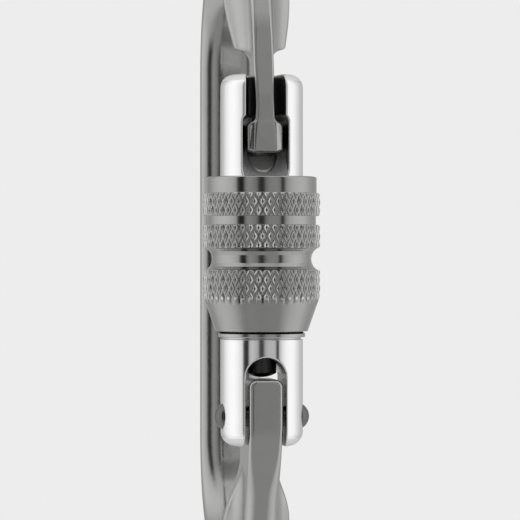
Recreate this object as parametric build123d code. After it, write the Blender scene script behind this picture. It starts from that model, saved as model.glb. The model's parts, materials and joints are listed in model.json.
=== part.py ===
"""Screw-lock carabiner: forged T-section frame, turned gate, knurled screw sleeve.

Every shape is drawn with the hinge pin's centre at (0, 0, 0): +Z runs up the gate,
-Y faces out of the gate, +Y is towards the spine and X is across the thickness.
TO_ROW then moves it so that the origin is the bearing point of the top basket.
"""

from build123d import *
from math import cos, radians, sin
import os

# ---- gate barrel -------------------------------------------------------------
BARREL_R = 6.0
BARREL_TOP = 49.6
BARREL_BOTTOM = -4.3
TOP_ROUND = 1.9
BOTTOM_ROUND = 2.2
THREAD_R = 6.2
THREAD_Z = (14.0, 31.0)
BORE_R = 2.2

# ---- hinge: fork slot, tang, rivet -------------------------------------------
FORK_WIDTH = 5.9
FORK_TOP = 8.6
TANG_HALF = 2.45
TANG_FRONT = -5.7
TANG_BACK = 6.3
TANG_TOP = 5.5
SHANK_R = 1.5
TANG_BORE_R = 1.55
TANG_BEVEL = 0.5
TANG_BASE_Z = -1.0
HEAD_R = 1.9
HEAD_CROWN_R = 2.04
HEAD_SEAT = 5.4
HEAD_TIP = 6.95
SPOT_FACE_R = 2.15

# ---- gate motion: the tang's cam lifts the plunger as the gate opens -----------
OPEN_DEG = 28.0
CAM_BASE_R = 5.35
CAM_LIFT_PER_RAD = 2.0
PLUNGER_R = 2.15
PLUNGER_TIP = 5.66
PLUNGER_CAP_R = 4.0
PLUNGER_CAP_HEIGHT = 0.9
PLUNGER_TOP = 15.5
PLUNGER_STUB = (1.2, 2.0)
SPRING_COIL_R = 1.8
SPRING_WIRE_R = 0.24
SPRING_TURNS = 14
PLUG_Z = (33.0, 35.0)
PLUG_NOSE_R = 1.93
PLUG_PROUD = -0.1

# ---- nose slot in the gate: wide pocket below, narrow neck above ----------------
SLOT_BACK = 2.2
POCKET_HALF = (3.44, 2.85)
POCKET_TOP = 43.8
NECK_HALF = (3.05, 1.85)
FLOOR_AT_AXIS = 37.76
FLOOR_FLAT_Y = 0.3

# ---- screw sleeve, at its lowest ----------------------------------------------
SLEEVE_Z = (12.35, 34.8)
THREAD_CLEARANCE = 0.05
SLEEVE_THREAD_TOP = 17.0
SLEEVE_RELIEF_R = 6.6
SLEEVE_GUIDE_R = 6.07
GUIDE_Z = 33.2
CONE_R = (6.7, 8.4)
CONE_TOP = 17.2
CONE_SHOULDER = 0.4
KNURL_R = 8.5
TOP_BAND_R = 8.0
MID_BAND_R = 7.9
GRIP_R = 7.2
GRIP_Z = (21.1, 24.6)
MID_BAND_Z = (27.8, 29.1)
TOP_BAND_Z = 32.4

# ---- stop ring under the sleeve -------------------------------------------------
RING_Z = (11.5, 12.3)
RING_R = (5.75, 6.33)
RING_GROOVE_R = 5.7
RING_PLAY = 0.05
RING_CHAMFER = 0.12

# ---- frame: outline corners (y, z) with the radius rounding each one -----------
SPINE = (38.0, 49.0)
TOP = (66.5, 78.0)
BOTTOM = (-18.5, -29.5)
LIP = (3.9, 53.5)
NOSE_FRONT = -4.8
NOSE_BACK = 2.1
NOSE_RISE = 0.7
STEM_TOP = 50.0
NOSE_BOTTOM = 38.3
OUTER = [
    ((-4.5, 45.5), 12),
    ((-1.0, 57.6), 25),
    ((7.5, TOP[1]), 19),
    ((SPINE[1], TOP[1]), 21),
    ((SPINE[1], BOTTOM[1]), 25),
    ((4.5, BOTTOM[1]), 20),
    ((TANG_FRONT, -2.1), 8),
]
INNER = [
    ((12.4, TOP[0]), 8),
    ((SPINE[0], TOP[0]), 15),
    ((SPINE[0], BOTTOM[0]), 14),
    ((7.7, BOTTOM[0]), 10),
]
INNER_END = (TANG_BACK, -4.0)
HINGE_END_Z = 0.5
FLANGE_DEPTH = 4.0
FLANGE_HALF = 5.0
SPINE_HALF = 4.75
SPINE_Z = (-10.0, 50.0)
RIB_HALF = TANG_HALF
STEM_HALF = 1.49
HEAD_HALF = 2.7
HEAD_FRONT = -3.6
HEAD_TOP = 42.8
HEAD_ROUND = 0.9
# (half-width, z) where the frame narrows towards the gate's two ends
RIB_TAPER = [(STEM_HALF, 62.0), (RIB_HALF, 74.0)]
LIP_TAPER = [(3.85, LIP[1]), (5.1, 60.5)]
STEM_Z = (34.0, 53.5)
BELOW_GATE_Z = 30.0
TANG_TAPER = [(2.55, -6.5), (3.0, -9.2), (4.15, -12.0), (FLANGE_HALF, -15.1)]
GATE_SIDE = (-12.0, 20.0)
ABOVE = 90.0
BELOW = -40.0
FAR = 12.0

# ---- top basket: where a rope or ring bears ------------------------------------
BASKET = (28.0, TOP[0])
TO_ROW = Location((0, -BASKET[0], -BASKET[1]))


def rod(radius, low, high):
    """A solid cylinder along Z between two heights."""
    return Pos(0, 0, low) * Cylinder(
        radius, high - low, align=(Align.CENTER, Align.CENTER, Align.MIN)
    )


def slab(outline, half):
    """A (y, z) face thickened by half each way along X."""
    return extrude(Plane.YZ * outline, half, both=True)


def rounded(start, corners, end):
    """A chain of straight runs through (y, z) corners, each corner an arc."""
    points = [start] + [corner for corner, _ in corners] + [end]
    return FilletPolyline(*points, radius=[radius for _, radius in corners])


def side_cut(steps, low, high):
    """Both flanks outside the half-widths steps, on the gate's side of the frame."""
    ends = [(steps[0][0], low)], [(steps[-1][0], high), (FAR, high), (FAR, low)]
    corners = dict.fromkeys(ends[0] + steps + ends[1])
    flank = Plane.XZ.offset(-GATE_SIDE[1]) * make_face(Polyline(*corners, close=True))
    cut = extrude(flank, GATE_SIDE[1] - GATE_SIDE[0])
    return cut + mirror(cut, about=Plane.YZ)


def tang():
    """The frame's hinge end, with a spiral cam on top that lifts the plunger."""
    turn = radians(OPEN_DEG)
    spiral = [
        (
            (CAM_BASE_R + CAM_LIFT_PER_RAD * a) * sin(a),
            (CAM_BASE_R + CAM_LIFT_PER_RAD * a) * cos(a),
        )
        for a in [turn * i / 4 for i in range(5)]
    ]
    crest = CAM_BASE_R + CAM_LIFT_PER_RAD * turn
    over = radians(60)
    edges = Polyline((crest, 0), (TANG_BACK, TANG_BASE_Z), (TANG_FRONT, TANG_BASE_Z))
    edges += Polyline((TANG_FRONT, TANG_BASE_Z), (TANG_FRONT, TANG_TOP), spiral[0])
    edges += Spline(*spiral)
    edges += ThreePointArc(spiral[-1], (crest * sin(over), crest * cos(over)), (crest, 0))
    plate = slab(make_face(edges), TANG_HALF)
    return chamfer(plate.faces().sort_by(Axis.Y)[0].edges(), TANG_BEVEL)


def nose():
    """The T-shaped head that hooks under the gate's shoulders."""
    outline = Polyline(
        (HEAD_FRONT, NOSE_BOTTOM), (HEAD_FRONT, HEAD_TOP), (NOSE_BACK, HEAD_TOP),
        (NOSE_BACK, NOSE_BOTTOM + NOSE_RISE), close=True,
    )
    head = slab(make_face(outline), HEAD_HALF)
    return fillet(head.edges().filter_by(Axis.Y), HEAD_ROUND)


def frame():
    """One forging: nose, top bow, spine, bottom bow and tang, with a T section."""
    outer = rounded((NOSE_FRONT, NOSE_BOTTOM), OUTER, (TANG_FRONT, HINGE_END_Z))
    inner = rounded(LIP, INNER, INNER_END)
    stem_back = Polyline(
        (NOSE_FRONT, NOSE_BOTTOM), (NOSE_BACK, NOSE_BOTTOM + NOSE_RISE), (NOSE_BACK, STEM_TOP), LIP
    )
    hinge_end = Polyline((TANG_FRONT, HINGE_END_Z), (TANG_BACK, HINGE_END_Z), INNER_END)
    outline = make_face(outer + hinge_end + inner + stem_back)
    window = make_face(inner + Line(INNER_END, LIP))
    flange_zone = outline & offset(window, FLANGE_DEPTH)

    rib = slab(outline, RIB_HALF) - side_cut(RIB_TAPER, STEM_Z[0], ABOVE)
    flange = slab(flange_zone, FLANGE_HALF)
    flange -= side_cut(LIP_TAPER, STEM_Z[1], ABOVE)
    flange -= side_cut([(0.0, STEM_Z[1] - 1)], BELOW_GATE_Z, STEM_Z[1])
    flange -= side_cut(TANG_TAPER[::-1], BELOW, BELOW_GATE_Z)
    spine_cut = Pos(SPINE_HALF, GATE_SIDE[1], SPINE_Z[0]) * Box(
        FAR, SPINE[1], SPINE_Z[1] - SPINE_Z[0], align=Align.MIN
    )
    flange -= spine_cut + mirror(spine_cut, about=Plane.YZ)

    body = rib + flange + tang() + nose()
    body -= Plane.YZ * Cylinder(TANG_BORE_R, 3 * FAR)
    return body


def barrel():
    """The gate: a turned bar with a fork for the tang and a slot for the nose."""
    bar = rod(BARREL_R, BARREL_BOTTOM, BARREL_TOP)
    bar = fillet(bar.edges().sort_by(Axis.Z)[-1], TOP_ROUND)
    bar = fillet(bar.edges().sort_by(Axis.Z)[0], BOTTOM_ROUND)
    bar += rod(THREAD_R, *THREAD_Z)
    ring_groove = rod(FAR, RING_Z[0] - RING_PLAY, RING_Z[1] + RING_PLAY)
    bar -= ring_groove - rod(RING_GROOVE_R, 0, BARREL_TOP)

    arch = FORK_WIDTH / 2
    fork = Pos(0, 0, BARREL_BOTTOM - 1) * Box(
        FORK_WIDTH, 2 * FAR, FORK_TOP - arch - BARREL_BOTTOM + 1,
        align=(Align.CENTER, Align.CENTER, Align.MIN),
    )
    bar -= fork + Pos(0, 0, FORK_TOP - arch) * Rot(90, 0, 0) * Cylinder(arch, 2 * FAR)
    bar -= rod(BORE_R, 0, FLOOR_AT_AXIS + 1)
    bar -= Plane.YZ * Cylinder(SHANK_R, 3 * FAR)
    spot = Plane.YZ.offset(HEAD_SEAT) * extrude(Circle(SPOT_FACE_R), FAR)
    bar -= spot + mirror(spot, about=Plane.YZ)
    return bar - nose_slot()


def tapered_slot(halves, low, high):
    """A slot open to the front whose walls draw in towards its back."""
    front, back = halves
    mouth = -BARREL_R - 1
    slope = (front - back) / (BARREL_R + SLOT_BACK)
    plan = Polyline(
        (front + slope, mouth), (back, SLOT_BACK), (-back, SLOT_BACK), (-front - slope, mouth),
        close=True,
    )
    return Pos(0, 0, low) * extrude(make_face(plan), high - low)


def floor_below():
    """What stays under the pocket: a 45 degree ramp up to a flat ledge."""
    ledge = FLOOR_AT_AXIS + FLOOR_FLAT_Y
    front = -BARREL_R - 2
    line = Polyline(
        (front, FLOOR_AT_AXIS + front), (FLOOR_FLAT_Y, ledge), (SLOT_BACK + 1, ledge),
        (SLOT_BACK + 1, 20), (front, 20), close=True,
    )
    return slab(make_face(line), FAR)


def nose_slot():
    """Pocket and neck that take the T-shaped nose."""
    pocket = tapered_slot(POCKET_HALF, 25, POCKET_TOP) - floor_below()
    return pocket + tapered_slot(NECK_HALF, POCKET_TOP - 1, BARREL_TOP + 1)


def rivet():
    """The hinge pin, with a domed head formed at each end."""
    crown = radians(40)
    centre = HEAD_TIP - HEAD_CROWN_R
    dome = (centre + HEAD_CROWN_R * cos(crown), HEAD_CROWN_R * sin(crown))
    rim = centre + (HEAD_CROWN_R**2 - HEAD_R**2) ** 0.5
    edges = Polyline(
        (-rim, HEAD_R), (-HEAD_SEAT, HEAD_R), (-HEAD_SEAT, SHANK_R),
        (HEAD_SEAT, SHANK_R), (HEAD_SEAT, HEAD_R), (rim, HEAD_R),
    )
    edges += ThreePointArc((rim, HEAD_R), dome, (HEAD_TIP, 0))
    edges += ThreePointArc((-HEAD_TIP, 0), (-dome[0], dome[1]), (-rim, HEAD_R))
    return revolve(make_face(edges + Line((HEAD_TIP, 0), (-HEAD_TIP, 0))), Axis.X)


def plunger():
    """The spring's follower: crowned tip on the cam, stub inside the spring."""
    body = rod(PLUNGER_R, PLUNGER_TIP, PLUNGER_TOP)
    cap = Pos(0, 0, PLUNGER_TIP + PLUNGER_CAP_R) * Sphere(PLUNGER_CAP_R)
    body &= cap + rod(FAR, PLUNGER_TIP + PLUNGER_CAP_HEIGHT, PLUNGER_TOP)
    radius, height = PLUNGER_STUB
    return body + rod(radius, PLUNGER_TOP - height, PLUNGER_TOP + height)


def spring():
    """Compression spring between the plunger and the plug."""
    low = PLUNGER_TOP + SPRING_WIRE_R
    high = PLUG_Z[0] - SPRING_WIRE_R
    path = Helix((high - low) / SPRING_TURNS, high - low, SPRING_COIL_R)
    section = Plane(path @ 0, z_dir=path % 0) * Circle(SPRING_WIRE_R)
    return Pos(0, 0, low) * sweep(section, path=path)


def plug():
    """Closes the bore at the pocket floor and backs the spring."""
    seat = rod(BORE_R, *PLUG_Z)
    face = rod(PLUG_NOSE_R, PLUG_Z[1], FLOOR_AT_AXIS + 2)
    return seat + (face & (Pos(0, 0, PLUG_PROUD) * floor_below()))


def stop_ring():
    """Turned ring in the barrel's groove; the sleeve rests on it."""
    ring = rod(RING_R[1], *RING_Z)
    ring = chamfer(ring.edges().filter_by(GeomType.CIRCLE), RING_CHAMFER)
    return ring - rod(RING_R[0], 0, BARREL_TOP)


def sleeve():
    """Screw sleeve: cone, three grip bands, thumb groove, threaded bore."""
    low, high = SLEEVE_Z
    thread = THREAD_R + THREAD_CLEARANCE
    groove_mid = (GRIP_R, sum(GRIP_Z) / 2)
    edges = Polyline(
        (thread, SLEEVE_THREAD_TOP), (thread, low), (CONE_R[0], low), (CONE_R[1], CONE_TOP),
        (KNURL_R, CONE_TOP + CONE_SHOULDER), (KNURL_R, GRIP_Z[0]),
    )
    edges += ThreePointArc((KNURL_R, GRIP_Z[0]), groove_mid, (KNURL_R, GRIP_Z[1]))
    edges += Polyline(
        (KNURL_R, GRIP_Z[1]), (KNURL_R, MID_BAND_Z[0]), (MID_BAND_R, MID_BAND_Z[0]),
        (MID_BAND_R, MID_BAND_Z[1]), (KNURL_R, MID_BAND_Z[1]), (KNURL_R, TOP_BAND_Z),
        (TOP_BAND_R, TOP_BAND_Z), (TOP_BAND_R, high), (SLEEVE_GUIDE_R, high),
        (SLEEVE_GUIDE_R, GUIDE_Z), (SLEEVE_RELIEF_R, GUIDE_Z),
        (SLEEVE_RELIEF_R, SLEEVE_THREAD_TOP), (thread, SLEEVE_THREAD_TOP),
    )
    return revolve(Plane.XZ * make_face(edges), Axis.Z)


def write(name, solid):
    export_step(TO_ROW * solid, f"parts/{name}.step")


os.makedirs("parts", exist_ok=True)
write("frame_forging", frame())
write("gate_barrel", barrel())
write("hinge_rivet", rivet())
write("spring_plunger", plunger())
write("gate_spring", spring())
write("bore_plug", plug())
write("stop_ring", stop_ring())
write("lock_sleeve", sleeve())
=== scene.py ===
"""Looks of the screw-lock carabiner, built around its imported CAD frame.

Shapes are drawn in millimetres with the hinge pin's centre at (0, 0, 0): +Z runs up the
gate, -Y faces out of the gate, +Y is towards the spine and X is across the thickness.
piece() turns them into metres in the frame's axes, from the gate_open joint's position.
"""

import json
from math import ceil, cos, hypot, pi, radians, sin, sqrt

import bpy
import numpy as np
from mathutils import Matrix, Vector

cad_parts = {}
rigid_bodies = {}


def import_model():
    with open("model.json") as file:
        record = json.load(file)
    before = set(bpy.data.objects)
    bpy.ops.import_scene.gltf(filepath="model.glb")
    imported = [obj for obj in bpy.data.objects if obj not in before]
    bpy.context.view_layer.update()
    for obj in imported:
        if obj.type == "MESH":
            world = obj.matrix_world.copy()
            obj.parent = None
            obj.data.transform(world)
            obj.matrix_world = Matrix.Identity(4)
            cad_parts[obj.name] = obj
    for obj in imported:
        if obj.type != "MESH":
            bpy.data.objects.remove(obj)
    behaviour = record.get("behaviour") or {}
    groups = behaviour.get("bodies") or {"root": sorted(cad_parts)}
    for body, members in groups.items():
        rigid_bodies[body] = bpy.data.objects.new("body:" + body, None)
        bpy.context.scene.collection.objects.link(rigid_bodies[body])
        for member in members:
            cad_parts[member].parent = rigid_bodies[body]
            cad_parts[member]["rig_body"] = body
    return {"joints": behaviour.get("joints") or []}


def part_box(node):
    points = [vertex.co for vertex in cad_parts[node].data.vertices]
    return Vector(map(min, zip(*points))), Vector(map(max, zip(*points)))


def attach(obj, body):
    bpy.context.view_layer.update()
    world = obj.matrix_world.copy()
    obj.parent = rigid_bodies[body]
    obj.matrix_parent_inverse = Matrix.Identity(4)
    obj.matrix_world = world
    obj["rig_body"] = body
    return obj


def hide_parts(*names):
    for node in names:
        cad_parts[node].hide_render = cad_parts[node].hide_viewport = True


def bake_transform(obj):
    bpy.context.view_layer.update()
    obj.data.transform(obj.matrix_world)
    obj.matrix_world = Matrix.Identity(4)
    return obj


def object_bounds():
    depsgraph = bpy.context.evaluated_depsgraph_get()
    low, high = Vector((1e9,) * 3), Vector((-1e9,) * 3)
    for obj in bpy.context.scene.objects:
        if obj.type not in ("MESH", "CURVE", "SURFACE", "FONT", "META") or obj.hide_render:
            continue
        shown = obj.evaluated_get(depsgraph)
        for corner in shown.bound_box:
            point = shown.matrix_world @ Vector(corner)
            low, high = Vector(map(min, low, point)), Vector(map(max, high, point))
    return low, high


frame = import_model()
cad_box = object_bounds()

JOINTS = {joint["name"]: joint for joint in frame["joints"]}
HINGE = np.array(JOINTS["gate_open"]["pos_m"], float)
MM = 0.001
FEWER = 1
GRID_COARSER = 1


def node_span(node, axis):
    """Lowest and highest coordinate of a CAD node along one axis, mm from the hinge."""
    low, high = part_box(node)
    return (low[axis] - HINGE[axis]) / MM, (high[axis] - HINGE[axis]) / MM


# ---- sizes that come from the CAD nodes -------------------------------------------
BARREL_BOTTOM, BARREL_TOP = node_span("gate_barrel", 2)
SLEEVE_BOTTOM, SLEEVE_TOP = node_span("lock_sleeve", 2)
KNURL_R = node_span("lock_sleeve", 0)[1]
RING_BOTTOM, RING_TOP = node_span("stop_ring", 2)
RING_R = node_span("stop_ring", 0)[1]
HEAD_TIP = node_span("hinge_rivet", 0)[1]
HEAD_R = node_span("hinge_rivet", 2)[1]
PLUNGER_TIP, PLUNGER_END = node_span("spring_plunger", 2)
PLUNGER_R = node_span("spring_plunger", 0)[1]
PLUG_BOTTOM, PLUG_TOP = node_span("bore_plug", 2)
BORE_R = node_span("bore_plug", 0)[1]
FRAME_BOTTOM, FRAME_TOP = node_span("frame_forging", 2)
FRAME_FRONT, FRAME_BACK = node_span("frame_forging", 1)
FLANGE_HALF = node_span("frame_forging", 0)[1]

# ---- barrel, mm -------------------------------------------------------------------
BARREL_R = 6.0
TOP_ROUND = 1.9
BOTTOM_ROUND = 2.2
FORK_HALF = 2.95
FORK_ARCH_Z = 5.65
PIN_R = 1.5
SPOT_R = 2.15
SPOT_X = 5.4
SHARP_EDGE = 0.05
FORK_EDGE = 0.22
SPOT_EDGE = 0.12
BORE_EDGE = 0.03
PLUNGER_CROWN_R = 4.0
STUB_R = 1.2
STUB_LENGTH = 2.0
RING_PLAY = 0.05
RING_CHAMFER = (0.35, 0.3)
RING_SEAT = 0.25
UNDERCUT = 0.3
GROOVE_R = 5.7
SLOT_BACK = 2.2
POCKET_HALF = (3.44, 2.85)
NECK_HALF = (3.05, 1.85)
POCKET_TOP = 43.8
FLOOR_AT_AXIS = 37.76
FLOOR_FLAT_Y = 0.3
POCKET_TOP_ROUND = 1.2
SCOOP_ROUND = 2.5
POCKET_BACK_ROUND = 0.4
NECK_BACK_ROUND = 0.5
POCKET_EDGE = 0.25
THREAD_Z = (14.0, 31.0)
THREAD_R = 6.2
THREAD_STARTS = 3
THREAD_ROOT_R = BARREL_R - 0.06
THREAD_INNER_R = BARREL_R - 0.4
THREAD_RUNOUT = 1.2
LEAD = 4.0
PLUG_SEAT = 0.8
PLUG_SEAT_GAP = 0.01
PLUG_FACE_GAP = 0.27
PLUG_PROUD = 0.1
SPRING_WIRE_R = 0.24
SPRING_TURNS = 14

# ---- sleeve, mm -------------------------------------------------------------------
KNURLS_ROUND = 45
KNURL_PITCH = 2.5
KNURL_DEPTH = 0.28
KNURL_STEPS = 18
# Painted light and shade across the knurl, from its roots (0) to its crests (1): painted shade in
# the grooves, a painted highlight on the slopes below the crests and a painted dark reflection on
# the crests; 0.5 is untouched.
KNURL_PAINTED_LIGHT = [(0.0, 0.5), (0.05, 0.3), (0.25, 0.5), (0.65, 1.0), (0.85, 0.35), (1.0, 0.16)]
BORE_THREAD_R = 6.25
CONE_R = (6.7, 8.4)
CONE_TOP = 17.2
GRIP_Z = (21.1, 24.6)
GRIP_DIP = 1.3
MID_BAND_R = 7.9
MID_BAND_Z = (27.8, 29.1)
TOP_BAND_R = 8.0
TOP_BAND_Z = 32.4
GUIDE_R = 6.07
GUIDE_Z = 33.2
RELIEF_R = 6.6
RELIEF_Z = 17.0
BAND_CHAMFER = 0.22

# ---- frame outlines: corners (y, z) and the radius that rounds each ------------------
OUTER = [
    ((-4.93, 30.0), 0), ((-4.5, 45.5), 12), ((-1.0, 57.6), 25), ((7.5, FRAME_TOP), 19),
    ((FRAME_BACK, FRAME_TOP), 21), ((FRAME_BACK, FRAME_BOTTOM), 25),
    ((4.5, FRAME_BOTTOM), 20), ((FRAME_FRONT, -2.1), 8), ((FRAME_FRONT, 12.0), 0),
]
BAND = 11.5
INNER_LOW, INNER_HIGH = FRAME_BOTTOM + 11.0, FRAME_TOP - BAND
INNER_BACK = FRAME_BACK - 11.0
INNER = [
    ((2.1, 30.0), 0), ((2.1, 50.0), 4), ((3.9, 53.5), 4), ((12.4, INNER_HIGH), 8),
    ((INNER_BACK, INNER_HIGH), 15), ((INNER_BACK, INNER_LOW), 14), ((7.7, INNER_LOW), 10),
    ((6.3, -4.0), 12), ((6.3, 6.3), 6.1), ((-8.0, 6.3), 0),
]
NOSE_BOTTOM = 38.3
NOSE_SLOPE = 0.1
HEAD_HALF = 2.7
HEAD_TOP = 42.8
HEAD_FRONT = -4.35
STEM_FACE = 1.6
TANG_TOP = 5.5
TANG_BORE_R = 1.55
LIP_Z = 53.4
FLANGE_END_Z = -3.5
# Where the gate's side of the frame ends, and where it turns gradually into the spine.
GATE_SIDE_Y = 12.0
NOSE_SIDE_Z = 20.0
SPINE_FROM, SPINE_OVER = 9.0, 10.0
SPINE_HALF = 4.75
SPINE_RECESS = 1.7
SPINE_FILLET = 1.7
SPINE_ROUND = 0.8
RIB_HALF = 2.45
DEEP_INSIDE, FAR_OUTSIDE = -9.0, 9.0
CROWN_HALF = 1.28
CROWN_R = 4.6
FLANGE_ROOT = 4.4
FLANGE_DRAFT = 0.6
# (z, value) along the gate's side of the frame: half-widths, depths and radii
RIB_WIDTH = [(8, 2.45), (20, 2.0), (38, 1.95), (41, 1.75), (43, 1.5), (45, 1.36), (49.6, 1.49),
             (60.5, 1.5), (66, 1.75), (74, 2.45)]
FLANGE_WIDTH = [(-15.1, FLANGE_HALF), (-12, 4.15), (-9.2, 2.85), (-6.5, 1.7), (-4, 0.5), (20, 0.5),
                (50, 3.3), (53.6, 3.75), (57.6, 4.6), (61.5, FLANGE_HALF + 0.15)]
WINDOW_RECESS = [(-14, 1.7), (-7, 0.0), (20, 0.0), (52.5, 0.0), (56, 1.7)]
FLANGE_THICK = [(-12, FLANGE_ROOT), (-6, 3.4), (20, 3.0), (53, 2.7), (58, 3.6), (64, FLANGE_ROOT)]
FILLET = [(-14, 1.7), (-9, 1.2), (-5, 0.3), (20, 0.3), (50, 2.0), (56, 2.0), (60, 2.5), (66, 2.7)]
FRONT_ROUND = [(-17, 2.3), (-11.5, 2.2), (-8.5, 1.4), (-6, 0.8), (-3, 0.65), (10, 0.65),
               (38, 0.5), (54, 0.5), (66, 0.9)]
HEAD_BEVEL = radians(20)


# ---- distance fields: negative inside ---------------------------------------------
def both(a, b, k=0.0):
    """What is inside a and inside b, with the edge between them rounded by radius k."""
    sharp = np.maximum(a, b)
    if np.isscalar(k) and k <= 0:
        return sharp
    arc = np.hypot(np.maximum(a + k, 0), np.maximum(b + k, 0)) - k
    return np.where((a > -k) & (b > -k), arc, sharp)


def either(a, b, k=0.0):
    """What is inside a or inside b, with a fillet of radius k where they meet."""
    return -both(-a, -b, k)


def along(z, knots):
    """A smoothed run of values through (z, value) knots."""
    at, values = zip(*knots)
    shifts = (-1.2, -0.6, 0.0, 0.6, 1.2)
    return sum(np.interp(z + shift, at, values) for shift in shifts) / len(shifts)


def step_up(t):
    """0 below 0, 1 above 1, smooth between."""
    t = np.clip(t, 0, 1)
    return t * t * (3 - 2 * t)


def chain(corners):
    """Straight runs through rounded corners, as line and arc pieces."""
    points = [np.array(p, float) for p, _ in corners]
    pieces, start = [], points[0]
    for i in range(1, len(points) - 1):
        into = (points[i] - points[i - 1]) / np.linalg.norm(points[i] - points[i - 1])
        out = (points[i + 1] - points[i]) / np.linalg.norm(points[i + 1] - points[i])
        turn = into[0] * out[1] - into[1] * out[0]
        bend = np.arccos(np.clip(into @ out, -1, 1))
        radius = corners[i][1]
        reach = radius * np.tan(bend / 2)
        first, last = points[i] - into * reach, points[i] + out * reach
        side = 1.0 if turn > 0 else -1.0
        centre = first + side * radius * np.array([-into[1], into[0]])
        pieces.append(("line", start, first))
        pieces.append(("arc", centre, radius, first, last, side))
        start = last
    pieces.append(("line", start, points[-1]))
    return pieces


def left_of(pieces, y, z):
    """Signed distance to a chain, positive on the left of its direction."""
    y, z = np.broadcast_arrays(y, z)
    best = np.full(y.shape, 1e3)
    for piece in pieces:
        if piece[0] == "line":
            start, end = piece[1], piece[2]
            run = end - start
            length = np.linalg.norm(run)
            if length < 1e-9:
                continue
            way = run / length
            dy, dz = y - start[0], z - start[1]
            t = np.clip(dy * way[0] + dz * way[1], 0, length)
            away = np.hypot(dy - t * way[0], dz - t * way[1])
            signed = np.where(way[0] * dz - way[1] * dy >= 0, away, -away)
        else:
            centre, radius, first, last, side = piece[1:]
            dy, dz = y - centre[0], z - centre[1]
            a, b = first - centre, last - centre
            within = (side * (a[0] * dz - a[1] * dy) >= 0) & (side * (dy * b[1] - dz * b[0]) >= 0)
            signed = np.where(within, side * (radius - np.hypot(dy, dz)), 1e3)
        best = np.where(np.abs(signed) < np.abs(best), signed, best)
    return best


# ---- meshes from fields -------------------------------------------------------------
def spaced(*spans):
    """Grid coordinates through consecutive (start, end, step) spans."""
    values = []
    for start, end, step in spans:
        count = max(1, int(round((end - start) / (step * GRID_COARSER))))
        values += [start + (end - start) * i / count for i in range(count)]
    return np.array(values + [spans[-1][1]])


def mirrored(xs):
    """A half grid whose first cell straddles x = 0."""
    return np.concatenate([[-xs[1] / 2], xs[1:] - xs[1] / 2, [xs[-1] + xs[1] / 2]])


def crossings(values, grid):
    """The cells that the surface passes through, and a first point in each."""
    inside = values < 0
    corners = [(i, j, k) for i in (0, 1) for j in (0, 1) for k in (0, 1)]
    shape = [n - 1 for n in values.shape]
    count = sum(
        inside[i:shape[0] + i, j:shape[1] + j, k:shape[2] + k].astype(np.int8)
        for i, j, k in corners
    )
    cells = np.argwhere((count > 0) & (count < 8))
    at = {c: values[tuple((cells + c).T)] for c in corners}
    total = np.zeros((len(cells), 3))
    hits = np.zeros(len(cells))
    for c in corners:
        for axis in range(3):
            if c[axis]:
                continue
            d = tuple(c[n] + (n == axis) for n in range(3))
            cut = (at[c] < 0) != (at[d] < 0)
            t = np.where(cut, at[c] / np.where(cut, at[c] - at[d], 1), 0)
            place = [np.full(len(cells), float(c[n])) + (t if n == axis else 0) for n in range(3)]
            total += np.stack(place, 1) * cut[:, None]
            hits += cut
    share = total / hits[:, None]
    points = np.empty_like(share)
    for axis in range(3):
        low = grid[axis][cells[:, axis]]
        points[:, axis] = low + (grid[axis][cells[:, axis] + 1] - low) * share[:, axis]
    return inside, cells, points


def net(field, grid):
    """Points and quads of a field's surface, meshed on x >= 0 and mirrored."""
    xs, ys, zs = grid
    values = field(xs[:, None, None], ys[None, :, None], zs[None, None, :])
    inside, cells, points = crossings(values, grid)
    number = np.full([n - 1 for n in values.shape], -1, np.int64)
    number[tuple(cells.T)] = np.arange(len(cells))
    quads = []
    for axis in range(3):
        a, b = [n for n in range(3) if n != axis]
        low = [slice(None)] * 3
        high = [slice(None)] * 3
        low[axis], high[axis] = slice(0, -1), slice(1, None)
        changed = inside[tuple(low)] != inside[tuple(high)]
        edges = np.argwhere(changed)
        edges = edges[(edges[:, a] > 0) & (edges[:, b] > 0)]
        edges = edges[(edges[:, a] < number.shape[a]) & (edges[:, b] < number.shape[b])]
        ring = []
        for da, db in ((1, 1), (0, 1), (0, 0), (1, 0)):
            cell = edges.copy()
            cell[:, a] -= da
            cell[:, b] -= db
            ring.append(number[tuple(cell.T)])
        quads.append(np.stack(ring, 1))
    quads = np.concatenate(quads)
    for _ in range(3):
        value, slope = field_slope(field, points)
        points -= slope * (value / np.maximum((slope**2).sum(1), 1e-6))[:, None]
        points[cells[:, 0] == 0, 0] = 0
    across = np.cross(points[quads[:, 2]] - points[quads[:, 0]],
                      points[quads[:, 3]] - points[quads[:, 1]])
    inward = (across * slope[quads].sum(1)).sum(1) < 0
    quads[inward] = quads[inward][:, ::-1]
    return mirror_mesh(points, quads, cells[:, 0] == 0)


def field_slope(field, points, reach=0.02):
    """A field's value and gradient at points."""
    x, y, z = points.T
    slope = [
        field(x + reach, y, z) - field(x - reach, y, z),
        field(x, y + reach, z) - field(x, y - reach, z),
        field(x, y, z + reach) - field(x, y, z - reach),
    ]
    return field(x, y, z), np.stack(slope, 1) / (2 * reach)


def mirror_mesh(points, quads, on_plane):
    """Adds the x < 0 half, sharing the points that lie on the plane."""
    other = np.where(on_plane, np.arange(len(points)), 0)
    other[~on_plane] = len(points) + np.arange((~on_plane).sum())
    copied = points[~on_plane] * (-1, 1, 1)
    return np.concatenate([points, copied]), np.concatenate([quads, other[quads][:, ::-1]])


def field_normals(field, points):
    _, slope = field_slope(field, points)
    return slope / np.maximum(np.linalg.norm(slope, axis=1), 1e-9)[:, None]


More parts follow.
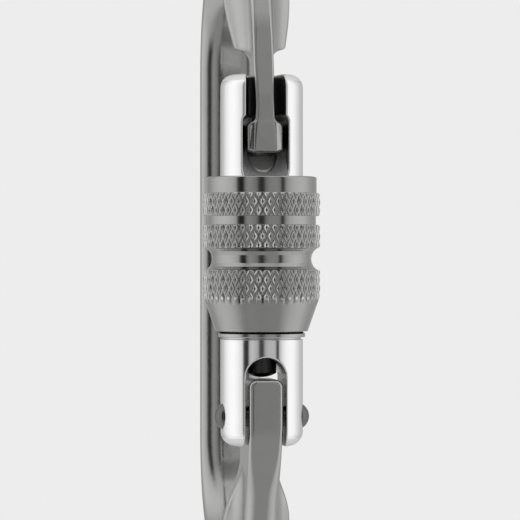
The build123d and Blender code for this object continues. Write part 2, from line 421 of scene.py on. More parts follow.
def piece(name, points, quads, normals, node, body, finish):
    """A shaded mesh object in the frame's axes, riding on a CAD body."""
    mesh = bpy.data.meshes.new(name)
    placed = np.asarray(points) * MM + HINGE
    mesh.vertices.add(len(placed))
    mesh.vertices.foreach_set("co", placed.astype(np.float32).ravel())
    quads = np.asarray(quads)
    mesh.loops.add(quads.size)
    mesh.loops.foreach_set("vertex_index", quads.astype(np.int32).ravel())
    mesh.polygons.add(len(quads))
    size = quads.shape[1]
    mesh.polygons.foreach_set("loop_start", np.arange(0, quads.size, size, dtype=np.int32))
    mesh.update(calc_edges=True)
    mesh.validate()
    mesh.shade_smooth()
    if normals is not None:
        mesh.normals_split_custom_set_from_vertices(np.asarray(normals, float).tolist())
    obj = bpy.data.objects.new(name, mesh)
    bpy.context.scene.collection.objects.link(obj)
    mesh.materials.append(finish)
    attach(obj, body)
    if node:
        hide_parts(node)
    return obj


# ---- turned pieces --------------------------------------------------------------------
def profile(corners, arc_steps=6, fine=0.6, fine_from=0.0):
    """A closed (radius, height) outline with rounded corners: points and outward normals.
    Runs whose radius is at least fine_from are divided finely."""
    points = [np.array(c[:2], float) for c in corners]
    radii = [c[2] for c in corners]
    made, normals = [], []
    for i, corner in enumerate(points):
        before, after = points[i - 1], points[(i + 1) % len(points)]
        into = (corner - before) / np.linalg.norm(corner - before)
        out = (after - corner) / np.linalg.norm(after - corner)
        bend = np.arctan2(into[0] * out[1] - into[1] * out[0], into @ out)
        reach = radii[i] * abs(np.tan(bend / 2))
        first = corner - into * reach
        side = 1.0 if bend > 0 else -1.0
        centre = first + side * radii[i] * np.array([-into[1], into[0]])
        steps = max(2, int(ceil(arc_steps * abs(bend) / (pi / 2)))) if radii[i] else 1
        if made:
            gap = np.linalg.norm(first - made[-1])
            thick = (first[0] + made[-1][0]) / 2 >= fine_from
            extra = int(gap / (fine if thick else 1.2))
            start = made[-1]
            for n in range(1, extra + 1):
                made.append(start + (first - start) * n / (extra + 1))
                normals.append(np.array([into[1], -into[0]]))
        for n in range(steps + 1):
            angle = bend * n / steps
            turn = np.array([[cos(angle), -sin(angle)], [sin(angle), cos(angle)]])
            made.append(centre + turn @ (first - centre))
            normals.append(turn @ np.array([into[1], -into[0]]))
    return np.array(made), np.array(normals)


def lathe(made, normals, columns, relief=None):
    """Revolves an outline round Z. relief(angle, height, radius) gives the carved radius.
    An outline that starts and ends on the axis closes there in two tips."""
    angles = 2 * pi * np.arange(columns)[None, :] / columns
    on_axis = made[:, 0] < 1e-9
    tips = made[on_axis][[0, -1], 1] if on_axis.any() else []
    made, normals = made[~on_axis], normals[~on_axis]
    radius = np.repeat(made[:, :1], columns, 1)
    height = np.repeat(made[:, 1:], columns, 1)
    carved = relief(angles, height, radius) if relief else radius
    points = np.stack([carved * np.cos(angles), carved * np.sin(angles), height], 2)
    way = np.stack([normals[:, :1] * np.cos(angles), normals[:, :1] * np.sin(angles),
                    np.repeat(normals[:, 1:], columns, 1)], 2)
    if relief:
        reach = 0.01
        along_z = (relief(angles, height + reach, radius)
                   - relief(angles, height - reach, radius)) / (2 * reach)
        turn = reach / KNURL_R
        round_ = (relief(angles + turn, height, radius)
                  - relief(angles - turn, height, radius)) / (2 * reach)
        sloped = np.stack([np.cos(angles) + round_ * np.sin(angles),
                           np.sin(angles) - round_ * np.cos(angles), -along_z], 2)
        sloped /= np.linalg.norm(sloped, axis=2)[:, :, None]
        way = np.where((radius - carved)[:, :, None] > 1e-6, sloped, way)
    rows = len(made)
    index = np.arange(rows * columns).reshape(rows, columns)
    right, below = np.roll(index, -1, 1), np.roll(index, -1, 0)
    quads = np.stack([index, right, np.roll(below, -1, 1), below], 2)
    points, way = points.reshape(-1, 3), way.reshape(-1, 3)
    if not len(tips):
        return points, quads.reshape(-1, 4), way
    caps = []
    for tip, ring in ((len(points), index[0]), (len(points) + 1, index[-1])):
        caps += [[tip, ring[n - 2], ring[n - 1], ring[n]] for n in range(0, columns, 2)]
    points = np.concatenate([points, [[0, 0, tips[0]], [0, 0, tips[1]]]])
    way = np.concatenate([way, [[0, 0, -1], [0, 0, 1]]])
    return points, np.concatenate([quads[:-1].reshape(-1, 4), np.array(caps)]), way


def outward(points, quads, normals):
    """Turns the quads so that they face along their normals."""
    across = np.cross(points[quads[:, 2]] - points[quads[:, 0]],
                      points[quads[:, 3]] - points[quads[:, 1]])
    inward = (across * normals[quads].sum(1)).sum(1) < 0
    quads[inward] = quads[inward][:, ::-1]
    return quads


def turned(name, corners, columns, node, body, finish, relief=None, along_x=False, **detail):
    """A piece revolved round the gate's axis, or round the hinge pin's."""
    made, normals = profile(corners, **detail)
    points, quads, way = lathe(made, normals, columns // FEWER, relief)
    if along_x:
        points, way = points[:, [2, 0, 1]], way[:, [2, 0, 1]]
    return piece(name, points, outward(points, quads, way), way, node, body, finish)


def knurl(angle, height, radius):
    """Diamond pyramids pressed into everything that stands beyond their roots."""
    across = KNURLS_ROUND * angle / (2 * pi)
    up = (height - SLEEVE_BOTTOM) / KNURL_PITCH
    first, second = across + up, across - up
    rise = 2 * np.minimum(np.abs(first - np.round(first)), np.abs(second - np.round(second)))
    rise = step_up((rise - 0.1) / 0.75)
    outer = KNURL_R - KNURL_DEPTH * (1 - rise)
    return np.where(radius > GUIDE_R + 1, np.minimum(radius, outer), radius)


def lock_sleeve(finish):
    low, high = SLEEVE_BOTTOM, SLEEVE_TOP
    middle = sum(GRIP_Z) / 2
    half = (GRIP_Z[1] - GRIP_Z[0]) / 2
    bow_r = (half**2 + GRIP_DIP**2) / (2 * GRIP_DIP)
    sweep = np.arcsin(half / bow_r)
    bow = [
        (KNURL_R - GRIP_DIP + bow_r * (1 - cos(a)), middle + bow_r * sin(a), 0.5)
        for a in np.linspace(-sweep, sweep, 9)
    ]
    corners = [
        (BORE_THREAD_R, low, 0.15), (CONE_R[0], low, 0.15), (CONE_R[1], CONE_TOP, 0.6),
        (KNURL_R, CONE_TOP + 0.5, 0.4), (bow[0][0], bow[0][1], 0.12), *bow[1:-1],
        (bow[-1][0], bow[-1][1], 0.12),
        (KNURL_R, MID_BAND_Z[0] - BAND_CHAMFER, 0.06),
        (KNURL_R - BAND_CHAMFER, MID_BAND_Z[0], 0.06),
        (MID_BAND_R, MID_BAND_Z[0], 0.08), (MID_BAND_R, MID_BAND_Z[1], 0.08),
        (KNURL_R - BAND_CHAMFER, MID_BAND_Z[1], 0.06),
        (KNURL_R, MID_BAND_Z[1] + BAND_CHAMFER, 0.06),
        (KNURL_R, TOP_BAND_Z - BAND_CHAMFER, 0.06),
        (KNURL_R - BAND_CHAMFER, TOP_BAND_Z, 0.06),
        (TOP_BAND_R, TOP_BAND_Z, 0.08), (TOP_BAND_R, high, 0.28), (GUIDE_R, high, 0.25),
        (GUIDE_R, GUIDE_Z, 0.1), (RELIEF_R, GUIDE_Z, 0.1), (RELIEF_R, RELIEF_Z, 0.1),
        (BORE_THREAD_R, RELIEF_Z, 0.1),
    ]
    columns = KNURLS_ROUND * KNURL_STEPS
    return turned("lock_sleeve_knurled", corners, columns, "lock_sleeve", "sleeve", finish,
                  relief=knurl, arc_steps=3, fine=KNURL_PITCH / KNURL_STEPS, fine_from=KNURL_R - 0.2)


def stop_ring(finish):
    inner = BARREL_R - RING_SEAT
    chamfer, drop = RING_CHAMFER
    corners = [
        (inner, RING_BOTTOM, 0.08), (RING_R, RING_BOTTOM, 0.14),
        (RING_R, RING_TOP - drop, 0.06), (RING_R - chamfer, RING_TOP, 0.06),
        (inner, RING_TOP, 0.08),
    ]
    return turned("stop_ring_turned", corners, 240, "stop_ring", "ring", finish)


def hinge_rivet(finish):
    """Both domed heads and the shank, revolved round X."""
    crown = HEAD_R + 0.14
    centre = HEAD_TIP - crown
    dome = [
        (crown * sin(a), centre + crown * cos(a), 0.3)
        for a in np.linspace(radians(66), radians(10), 9)
    ]
    half = [(PIN_R, SPOT_X, 0.1), (HEAD_R, SPOT_X, 0.1), *dome, (0, HEAD_TIP, 0)]
    other = [(r, -x, k) for r, x, k in half[::-1]]
    return turned("hinge_rivet_domed", other + half, 96, "hinge_rivet", "gate", finish,
                  along_x=True)


def spring_plunger(finish):
    """Crowned tip on the cam, a body in the bore and a stub inside the spring."""
    end = PLUNGER_END - STUB_LENGTH
    crown = [
        (r, PLUNGER_TIP + PLUNGER_CROWN_R - sqrt(PLUNGER_CROWN_R**2 - r**2), k)
        for r, k in ((0, 0), (0.8, 1.5), (1.5, 1.5), (PLUNGER_R, 0.15))
    ]
    corners = [
        *crown, (PLUNGER_R, end, 0.2), (STUB_R, end, 0.1),
        (STUB_R, PLUNGER_END, 0.25), (0, PLUNGER_END, 0),
    ]
    return turned("spring_plunger_crowned", corners, 120, "spring_plunger", "plunger", finish)


def gate_spring(finish):
    """A coil of round wire, built at one length: it does not shorten as the plunger rises."""
    low, high = node_span("gate_spring", 2)
    reach = node_span("gate_spring", 0)[1]
    per_turn, around = 40, 10
    coil = reach - SPRING_WIRE_R
    t = np.linspace(0, 1, SPRING_TURNS * per_turn + 1)[:, None]
    phi = 2 * pi * np.arange(around)[None, :] / around
    angle = 2 * pi * SPRING_TURNS * t
    height = low + SPRING_WIRE_R + (high - low - 2 * SPRING_WIRE_R) * t
    radius = coil + SPRING_WIRE_R * np.cos(phi)
    points = np.stack([radius * np.cos(angle), radius * np.sin(angle),
                       height + SPRING_WIRE_R * np.sin(phi)], 2).reshape(-1, 3)
    normals = np.stack([np.cos(phi) * np.cos(angle), np.cos(phi) * np.sin(angle),
                        np.sin(phi) + 0 * angle], 2).reshape(-1, 3)
    index = np.arange(len(points)).reshape(len(t), around)
    a, b = index[:-1], index[1:]
    quads = np.stack([a, np.roll(a, -1, 1), np.roll(b, -1, 1), b], 2).reshape(-1, 4)
    ends = [[ring[n - 1], ring[n], ring[around - 1 - n], ring[around - n]]
            for ring in (index[0], index[-1]) for n in range(1, around // 2)]
    quads = np.concatenate([quads, np.array(ends)])
    obj = piece("gate_spring_coil", points, outward(points, quads, normals), normals,
                "gate_spring", "gate", finish)
    obj.parent = None
    del obj["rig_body"]
    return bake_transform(obj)


# ---- gate barrel ----------------------------------------------------------------------
def floor_above(y, z):
    """Positive under the pocket's floor: a 45 degree ramp up to a flat ledge."""
    ramp = (FLOOR_AT_AXIS + y - z) / np.sqrt(2)
    ledge = FLOOR_AT_AXIS + FLOOR_FLAT_Y - z
    return either(ramp, ledge, 0.3)


def wall(y, halves):
    """Half-width of a slot whose walls draw in towards its back."""
    front, back = halves
    return back + (front - back) * (SLOT_BACK - y) / (SLOT_BACK + BARREL_R)


def barrel_field(x, y, z):
    """A round bar with the hinge's fork, the ring's groove, the bore and the nose's pocket."""
    side = np.abs(x)
    radial = np.hypot(x, y)
    body = both(radial - BARREL_R, z - BARREL_TOP, TOP_ROUND)
    body = both(body, BARREL_BOTTOM - z, BOTTOM_ROUND)
    middle = (RING_BOTTOM - UNDERCUT + RING_TOP + RING_PLAY) / 2
    groove = both(GROOVE_R - radial, np.abs(z - middle) - (RING_TOP + RING_PLAY - middle))
    body = both(body, -groove, SHARP_EDGE)
    fork = np.hypot(x, np.maximum(z - FORK_ARCH_Z, 0)) - FORK_HALF
    body = both(body, -fork, FORK_EDGE)
    bore = both(radial - BORE_R, z - FLOOR_AT_AXIS - 1)
    body = both(body, -bore, BORE_EDGE)
    pocket = both(side - wall(y, POCKET_HALF), z - POCKET_TOP, POCKET_TOP_ROUND)
    pocket = both(pocket, floor_above(y, z), SCOOP_ROUND)
    pocket = both(pocket, y - SLOT_BACK, POCKET_BACK_ROUND)
    neck = both(side - wall(y, NECK_HALF), y - SLOT_BACK, NECK_BACK_ROUND)
    neck = both(neck, POCKET_TOP - 1 - z)
    body = both(body, -either(pocket, neck, 0.02), POCKET_EDGE)
    pin = np.hypot(y, z)
    body = both(body, PIN_R - pin, SHARP_EDGE)
    spot = both(pin - SPOT_R, SPOT_X - side)
    return both(body, -spot, SPOT_EDGE)


def gate_barrel(finish):
    fine = 0.15
    edge = BARREL_R + 0.4
    xs = mirrored(spaced((0, edge, fine)))
    ys = spaced((-edge, edge, fine))
    arch_end = FORK_ARCH_Z + FORK_HALF + 0.6
    zs = spaced(
        (BARREL_BOTTOM - 0.3, arch_end, fine), (arch_end, RING_BOTTOM - 0.5, 0.4),
        (RING_BOTTOM - 0.5, RING_TOP + 0.3, 0.07), (RING_TOP + 0.3, SLEEVE_TOP - 2.5, 0.5),
        (SLEEVE_TOP - 2.5, BARREL_TOP + 0.3, fine),
    )
    points, quads = net(barrel_field, (xs, ys, zs))
    return piece("gate_barrel_turned", points, quads, field_normals(barrel_field, points),
                 "gate_barrel", "gate", finish)


def barrel_thread(finish):
    """Three-start screw thread whose crests stand out of the barrel."""
    columns, rows = 288 // FEWER, 204 // FEWER
    angle = 2 * pi * np.arange(columns)[None, :] / columns
    height = np.linspace(*THREAD_Z, rows)[:, None]
    turns = THREAD_STARTS * (height / LEAD - angle / (2 * pi))
    wave = np.abs(turns - np.round(turns)) * 2
    crest = np.clip((wave - 0.3) / 0.45, 0, 1)
    low, high = THREAD_Z
    ends = step_up((height - low) / THREAD_RUNOUT) * step_up((high - height) / THREAD_RUNOUT)
    radius = THREAD_ROOT_R + (THREAD_R - THREAD_ROOT_R) * crest * ends
    hidden = np.full((1, columns), THREAD_INNER_R)
    ring = np.concatenate([hidden, radius, hidden])
    level = np.concatenate([height[:1], height, height[-1:]]) + 0 * angle
    points = np.stack([ring * np.cos(angle), ring * np.sin(angle), level], 2).reshape(-1, 3)
    index = np.arange(len(points)).reshape(rows + 2, columns)
    below = np.roll(index, -1, 0)
    quads = np.stack([index, np.roll(index, -1, 1), np.roll(below, -1, 1), below], 2)
    return piece("gate_barrel_thread", points, quads.reshape(-1, 4), None, None, "gate", finish)


def bore_plug(finish):
    """Round plug that closes the bore and follows the pocket's ramp."""
    def field(x, y, z):
        radial = np.hypot(x, y)
        seat = both(radial - BORE_R + PLUG_SEAT_GAP, z - PLUG_BOTTOM - PLUG_SEAT, 0.1)
        face = both(radial - BORE_R + PLUG_FACE_GAP, -floor_above(y, z) + PLUG_PROUD, 0.12)
        return both(either(seat, face, 0.05), PLUG_BOTTOM - z, 0.1)

    edge = BORE_R + 0.3
    grid = (mirrored(spaced((0, edge, 0.1))), spaced((-edge, edge, 0.1)),
            spaced((PLUG_BOTTOM - 0.2, PLUG_TOP + 0.4, 0.1)))
    points, quads = net(field, grid)
    return piece("bore_plug_faced", points, quads, field_normals(field, points),
                 "bore_plug", "gate", finish)


# ---- forged frame ---------------------------------------------------------------------
OUTER_CHAIN = chain(OUTER)
INNER_CHAIN = chain(INNER)


def frame_field(x, y, z):
    """A rib along the outside, a flange along the window and the T-shaped nose."""
    side = np.abs(x)
    outside = left_of(OUTER_CHAIN, y, z)
    window = -left_of(INNER_CHAIN, y, z)
    towards_spine = step_up((y - SPINE_FROM) / SPINE_OVER)

    def width(knots, spine):
        return along(z, knots) * (1 - towards_spine) + spine * towards_spine

    rib_half = width(RIB_WIDTH, RIB_HALF)
    flange_half = width(FLANGE_WIDTH, SPINE_HALF)
    recess = width(WINDOW_RECESS, SPINE_RECESS)
    front_round = width(FRONT_ROUND, SPINE_ROUND)
    fillet = width(FILLET, SPINE_FILLET)

    nose_side, gate_side = z > NOSE_SIDE_Z, y < GATE_SIDE_Y
    nose_floor = NOSE_BOTTOM + NOSE_SLOPE * (y - HEAD_FRONT) - z
    ends = np.where(gate_side, np.where(nose_side, nose_floor, z - TANG_TOP), DEEP_INSIDE)
    rib = both(side - rib_half, ends, np.where(nose_side, 0.5, 1.2))
    rib = both(rib, outside, front_round)
    rib = both(rib, window + recess, 0.3)

    from_flat = np.maximum(side - CROWN_HALF, 0)
    crown = np.where(window > -CROWN_R, np.hypot(from_flat, window + CROWN_R) - CROWN_R,
                     from_flat - CROWN_R)
    flange = both(side - flange_half, crown, 0.4)
    back = width(FLANGE_THICK, FLANGE_ROOT) - FLANGE_DRAFT * np.maximum(side - 2, 0)
    flange = both(flange, (-window - back) / hypot(1, FLANGE_DRAFT), 0.35)
    flange = both(flange, outside, 0.5)
    lips = np.where(nose_side, LIP_Z - z, z - FLANGE_END_Z)
    gate_ends = np.where(gate_side, lips, DEEP_INSIDE)
    flange = both(flange, gate_ends, np.where(nose_side, 0.6, 0.3))
    body = either(rib, flange, fillet)
    body = both(body, np.maximum(window, outside))

    head = both(side - HEAD_HALF, z - HEAD_TOP, 1.1)
    head = both(head, nose_floor, 0.5)
    wing = outside * cos(HEAD_BEVEL) + np.maximum(side - STEM_FACE, 0) * sin(HEAD_BEVEL)
    head = both(head, wing, 0.5)
    head = both(head, window, 0.4)
    body = either(body, np.where(nose_side & gate_side, head, FAR_OUTSIDE), 0.45)
    return both(body, TANG_BORE_R - np.hypot(y, z), 0.08)


def forged_frame(finish):
    xs = mirrored(spaced((0, 3.0, 0.125), (3.0, FLANGE_HALF + 0.4, 0.2)))
    ys = spaced((FRAME_FRONT - 0.4, 3.2, 0.14), (3.2, 9.0, 0.22), (9.0, FRAME_BACK + 0.4, 0.34))
    zs = spaced(
        (FRAME_BOTTOM - 0.4, -9.0, 0.32), (-9.0, TANG_TOP + 0.5, 0.15),
        (TANG_TOP + 0.5, NOSE_BOTTOM - 0.8, 0.4), (NOSE_BOTTOM - 0.8, 56.0, 0.14),
        (56.0, 66.0, 0.22), (66.0, FRAME_TOP + 0.4, 0.34),
    )
    points, quads = net(frame_field, (xs, ys, zs))
    return piece("frame_forged", points, quads, field_normals(frame_field, points),
                 "frame_forging", "frame", finish)


# ---- materials ------------------------------------------------------------------------
# The barrel's milled parts lie inside this radius; its upright walls there (pocket, neck, fork,
# groove) carry painted shade, a darker base colour standing for the shadow in these recesses.
MILLED_R = BARREL_R - 0.25
UPRIGHT_TILT = 0.2
MILLED_ROUGHER = 7.5
WALLS_SMOOTHER = -5.0
WALLS_PAINTED_SHADE = -8.0
KNURL_CONTRAST = 10.0


class Nodes:
    """Short calls that add and link shader nodes."""

    def __init__(self, tree):
        self.tree = tree

    def add(self, kind, *inputs, out=0, **settings):
        node = self.tree.nodes.new(kind)
        for key, value in settings.items():
            setattr(node, key, value)
        for key, value in enumerate(inputs):
            self.put(node, key, value)
        return node.outputs[out]

    def put(self, node, key, value):
        if isinstance(value, bpy.types.NodeSocket):
            self.tree.links.new(value, node.inputs[key])
        elif value is not None:
            node.inputs[key].default_value = value

    def math(self, operation, *inputs):
        return self.add("ShaderNodeMath", *inputs, operation=operation)

    def between(self, value, low, high):
        """Maps 0..1 to low..high."""
        return self.math("MULTIPLY_ADD", value, high - low, low)

    def split(self, vector):
        """The three parts of a vector."""
        node = self.tree.nodes.new("ShaderNodeSeparateXYZ")
        self.put(node, 0, vector)
        return node.outputs

    def ramp(self, value, steps):
        """A grey that follows (place, brightness) steps, places from 0 to 1."""
        node = self.tree.nodes.new("ShaderNodeValToRGB")
        self.put(node, 0, value)
        stops = node.color_ramp.elements
        for n, (at, grey) in enumerate(steps):
            stop = stops[n] if n < 2 else stops.new(at)
            stop.position = at
            stop.color = (grey, grey, grey, 1)
        return node.outputs[0]

    def mix(self, share, first, second):
        """A colour between first and second."""
        light = self.add("ShaderNodeMix", share, data_type="RGBA", out=2)
        self.put(light.node, 6, first)
        self.put(light.node, 7, second)
        return light

    def noise(self, where, scale, detail=4.0, roughness=0.55, line=False):
        node = self.tree.nodes.new("ShaderNodeTexNoise")
        node.noise_dimensions = "1D" if line else "3D"
        self.put(node, "W" if line else "Vector", where)
        self.put(node, "Scale", scale)
        self.put(node, "Detail", detail)
        self.put(node, "Roughness", roughness)
        return node.outputs[0]

    def bump(self, height, depth, below=None):
        node = self.tree.nodes.new("ShaderNodeBump")
        self.put(node, "Strength", 1.0)
        self.put(node, "Distance", depth)
        self.put(node, "Height", height)
        self.put(node, "Normal", below)
        return node.outputs[0]


def material(name, paint):
    """A metallic material; paint(nodes, shader) gives it its grain and colour."""
    made = bpy.data.materials.new(name)
    made.use_nodes = True
    shader = made.node_tree.nodes["Principled BSDF"]
    shader.inputs["Metallic"].default_value = 1.0
    paint(Nodes(made.node_tree), shader)
    return made


def from_axis(nodes):
    """Distance along plus distance from the gate's axis, so that lines run round it."""
    place = nodes.add("ShaderNodeTexCoord", out=3)
    x, y, z = nodes.split(place)
    y = nodes.math("SUBTRACT", y, float(HINGE[1]))
    across = nodes.math("SQRT", nodes.math("ADD", nodes.math("POWER", x, 2.0),
                                           nodes.math("POWER", y, 2.0)))
    return place, nodes.math("ADD", z, across), across


def shade(nodes, shader, grey, spread, mottle, rough, rough_spread, rough_map, warmth=1.0):
    """Base colour and roughness, each varied by its own map."""
    value = nodes.between(mottle, grey - spread, grey + spread)
    colour = nodes.add("ShaderNodeCombineColor", value, value,
                       nodes.math("MULTIPLY", value, warmth))
    nodes.put(shader, "Base Color", colour)
    nodes.put(shader, "Roughness", nodes.between(rough_map, rough - rough_spread,
                                                 rough + rough_spread))


def polished_barrel():
    def paint(nodes, shader):
        place, line, across = from_axis(nodes)
        marks = nodes.noise(line, 9000.0, detail=3.0, line=True)
        bands = nodes.noise(line, 900.0, detail=2.0, line=True)
        smears = nodes.noise(place, 260.0)
        milled = nodes.math("LESS_THAN", across, MILLED_R * MM)
        facing = nodes.split(nodes.add("ShaderNodeTexCoord", out=1))
        upright = nodes.math("LESS_THAN", nodes.math("ABSOLUTE", facing[2]), UPRIGHT_TILT)
        walls = nodes.math("MULTIPLY", milled, upright)
        rough = nodes.math("MULTIPLY_ADD", milled, MILLED_ROUGHER, bands)
        rough = nodes.math("MULTIPLY_ADD", walls, WALLS_SMOOTHER, rough)
        # Painted shade: the upright walls of the barrel's recesses get a darker base colour,
        # standing for the shadow inside them.
        grey = nodes.math("MULTIPLY_ADD", walls, WALLS_PAINTED_SHADE, smears)
        shade(nodes, shader, 0.9, 0.02, grey, 0.11, 0.03, rough)
        fine = nodes.bump(marks, 0.0000008)
        nodes.put(shader, "Normal", nodes.bump(smears, 0.000004, fine))
    return material("polished_aluminium", paint)


def anodised_sleeve():
    def paint(nodes, shader):
        place, line, across = from_axis(nodes)
        marks = nodes.noise(line, 3600.0, detail=4.0, roughness=0.7, line=True)
        mottle = nodes.noise(place, 420.0, detail=6.0)
        grain = nodes.noise(place, 9000.0, detail=3.0)
        root = (KNURL_R - KNURL_DEPTH) * MM
        level = nodes.math("DIVIDE", nodes.math("SUBTRACT", across, root), KNURL_DEPTH * MM)
        # Painted light on the knurl (shade in the grooves, a highlight near the crests, a dark
        # reflection on the tops), added to the random mottle.
        knurl_painted_light = nodes.ramp(level, KNURL_PAINTED_LIGHT)
        tone = nodes.math("MULTIPLY_ADD", knurl_painted_light, KNURL_CONTRAST, mottle)
        tone = nodes.math("SUBTRACT", tone, KNURL_CONTRAST / 2)
        shade(nodes, shader, 0.39, 0.03, tone, 0.13, 0.04, grain, 0.985)
        shader.inputs["Anisotropic"].default_value = 0.35
        shader.inputs["Anisotropic Rotation"].default_value = 0.25
        tangent = nodes.add("ShaderNodeTangent", direction_type="RADIAL", axis="Z")
        nodes.put(shader, "Tangent", tangent)
        fine = nodes.bump(marks, 0.0000035)
        nodes.put(shader, "Normal", nodes.bump(grain, 0.000003, fine))
    return material("grey_anodised_aluminium", paint)


def forged_aluminium():
    def paint(nodes, shader):
        place = nodes.add("ShaderNodeTexCoord", out=3)
        mottle = nodes.noise(place, 150.0, detail=6.0)
        grain = nodes.noise(place, 5200.0, detail=4.0, roughness=0.65)
        dents = nodes.noise(place, 700.0, detail=3.0)
        shade(nodes, shader, 0.44, 0.04, mottle, 0.17, 0.04, grain, 0.985)
        soft = nodes.bump(dents, 0.00001)
        nodes.put(shader, "Normal", nodes.bump(grain, 0.000005, soft))
    return material("tumbled_forged_aluminium", paint)


def dark_steel(name, grey, rough):
    def paint(nodes, shader):
        place = nodes.add("ShaderNodeTexCoord", out=3)
        grain = nodes.noise(place, 6000.0, detail=4.0)
        wear = nodes.noise(place, 900.0, detail=5.0)
        shade(nodes, shader, grey, grey * 0.15, wear, rough, 0.06, grain)
        nodes.put(shader, "Normal", nodes.bump(grain, 0.000004))
    return material(name, paint)


def turned_aluminium(name, grey, rough):
    def paint(nodes, shader):
        place, line, _ = from_axis(nodes)
        marks = nodes.noise(line, 5000.0, detail=3.0, line=True)
        wear = nodes.noise(place, 800.0, detail=5.0)
        shade(nodes, shader, grey, 0.03, wear, rough, 0.05, marks)
        nodes.put(shader, "Normal", nodes.bump(marks, 0.000003))
    return material(name, paint)


def pale_floor():
    made = bpy.data.materials.new("pale_floor")
    made.use_nodes = True
    nodes = Nodes(made.node_tree)
    shader = made.node_tree.nodes["Principled BSDF"]
    place = nodes.add("ShaderNodeTexCoord", out=3)
    value = nodes.between(nodes.noise(place, 3.0), 0.78, 0.82)
    nodes.put(shader, "Base Color", nodes.add("ShaderNodeCombineColor", value, value, value))
    shader.inputs["Roughness"].default_value = 0.9
    shader.inputs["Emission Color"].default_value = (1, 1, 1, 1)
    shader.inputs["Emission Strength"].default_value = 0.3
    return made


# ---- camera, light and floor ----------------------------------------------------------
CAMERA_AWAY = 500.0
CAMERA_UP = 22.7
CAMERA_SIDE = -0.24
PICTURE_WIDTH = 75.63
LOOK = Vector((0.12187, 0.99255, 0.0)).normalized()
RIGHT = Vector((LOOK.y, -LOOK.x, 0.0))
SENSOR = 36.0


def camera():
    """A level camera in front of the gate, a little to its left."""
    data = bpy.data.cameras.new("camera")
    data.sensor_width = SENSOR
    data.lens = SENSOR * CAMERA_AWAY / PICTURE_WIDTH
    data.clip_start, data.clip_end = 0.05, 50.0
    obj = bpy.data.objects.new("camera", data)
    bpy.context.scene.collection.objects.link(obj)
    offset = -LOOK * CAMERA_AWAY + RIGHT * CAMERA_SIDE + Vector((0, 0, CAMERA_UP))
    obj.location = Vector(HINGE) + offset * MM
    obj.rotation_mode = "QUATERNION"
    obj.rotation_quaternion = LOOK.to_track_quat("-Z", "Y")
    bpy.context.scene.camera = obj


# Brightness of the studio round the object by azimuth from the camera, degrees to its
# right: two soft boxes at the sides, black gaps beside them and a grey wall in front.
STUDIO = [
    (-180, 0.45), (-150, 0.46), (-133, 0.62), (-120, 0.85), (-100, 1.05), (-84, 1.08),
    (-72, 0.98), (-62, 0.85), (-55.5, 0.72), (-51, 0.10), (-46, 0.03), (-38, 0.03),
    (-35, 0.40), (-28, 0.56), (-20, 0.49), (-10, 0.38), (-5, 0.07), (4, 0.05),
    (9, 0.33), (16, 0.46), (30, 0.49), (39, 0.45), (43, 0.06), (48, 0.05), (51, 0.50),
    (62, 0.82), (74, 0.98), (90, 1.05), (104, 0.98), (120, 0.74), (140, 0.54), (180, 0.45),
]
# The same far above and far below, where the boxes end.
STUDIO_ABOVE = [(-180, 0.7), (-110, 0.95), (-75, 0.95), (-40, 0.85), (40, 0.85), (75, 0.95),
                (110, 0.95), (180, 0.7)]
STUDIO_BELOW = [(-180, 0.6), (-110, 0.9), (-75, 0.85), (-40, 0.47), (40, 0.47), (75, 0.85),
                (110, 0.9), (180, 0.6)]
BACKDROP = 0.847
RISE_ABOVE = (0.5, 0.95)
RISE_BELOW = (0.3, 0.65)


def round_about(steps):
    """(degrees, value) steps with the degrees turned into places from 0 to 1."""
    return [(azimuth / 360 + 0.5, value) for azimuth, value in steps]


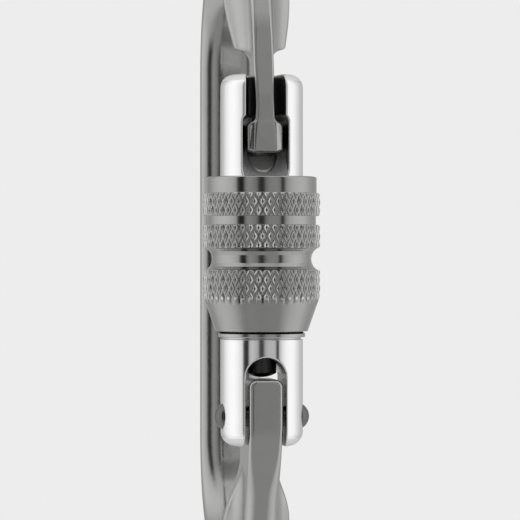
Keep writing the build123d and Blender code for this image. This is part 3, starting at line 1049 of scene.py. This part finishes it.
def studio():
    """The light round the object, and a plain backdrop for the camera."""
    world = bpy.data.worlds.new("studio")
    bpy.context.scene.world = world
    world.use_nodes = True
    tree = world.node_tree
    tree.nodes.clear()
    nodes = Nodes(tree)
    way = nodes.add("ShaderNodeTexCoord")
    aside = nodes.add("ShaderNodeVectorMath", way, tuple(RIGHT), out=1, operation="DOT_PRODUCT")
    near = nodes.add("ShaderNodeVectorMath", way, tuple(-LOOK), out=1, operation="DOT_PRODUCT")
    round_ = nodes.math("MULTIPLY_ADD", nodes.math("ARCTAN2", aside, near), 0.5 / pi, 0.5)
    boxes, above, below = [nodes.ramp(round_, round_about(steps))
                           for steps in (STUDIO, STUDIO_ABOVE, STUDIO_BELOW)]
    height = nodes.split(way)[2]
    depth = nodes.math("MULTIPLY", height, -1.0)
    high, low = [nodes.add("ShaderNodeMapRange", value, *span, 0.0, 1.0,
                           interpolation_type="SMOOTHSTEP")
                 for value, span in ((height, RISE_ABOVE), (depth, RISE_BELOW))]
    light = nodes.mix(low, nodes.mix(high, boxes, above), below)
    lit = nodes.add("ShaderNodeBackground", light, 1.0)
    seen = nodes.add("ShaderNodeBackground", (BACKDROP, BACKDROP, BACKDROP, 1), 1.0)
    path = nodes.add("ShaderNodeLightPath")
    surface = nodes.add("ShaderNodeMixShader", path, lit, seen)
    out = tree.nodes.new("ShaderNodeOutputWorld")
    nodes.put(out, 0, surface)


def floor():
    """A pale floor well below the object."""
    reach, drop = 2.4, 0.25
    low = cad_box[0].z - drop
    mesh = bpy.data.meshes.new("floor")
    corners = [(-reach, -reach, low), (reach, -reach, low), (reach, reach, low),
               (-reach, reach, low)]
    mesh.from_pydata(corners, [], [(0, 1, 2, 3)])
    mesh.materials.append(pale_floor())
    obj = bpy.data.objects.new("floor", mesh)
    bpy.context.scene.collection.objects.link(obj)
    obj.visible_glossy = False


camera()
studio()
floor()
bpy.context.scene.view_settings.view_transform = "Standard"

barrel_metal = polished_barrel()
gate_barrel(barrel_metal)
barrel_thread(barrel_metal)
bore_plug(turned_aluminium("turned_plug", 0.95, 0.5))
hinge_rivet(dark_steel("dark_rivet_steel", 0.16, 0.12))
gate_spring(dark_steel("drawn_spring_wire", 0.5, 0.25))
# Painted shade: the plunger's near-black base colour stands for the shadow it sits in inside the
# barrel.
spring_plunger(dark_steel("painted_shade_plunger_steel", 0.07, 0.35))
stop_ring(turned_aluminium("turned_ring", 0.48, 0.2))
lock_sleeve(anodised_sleeve())
forged_frame(forged_aluminium())
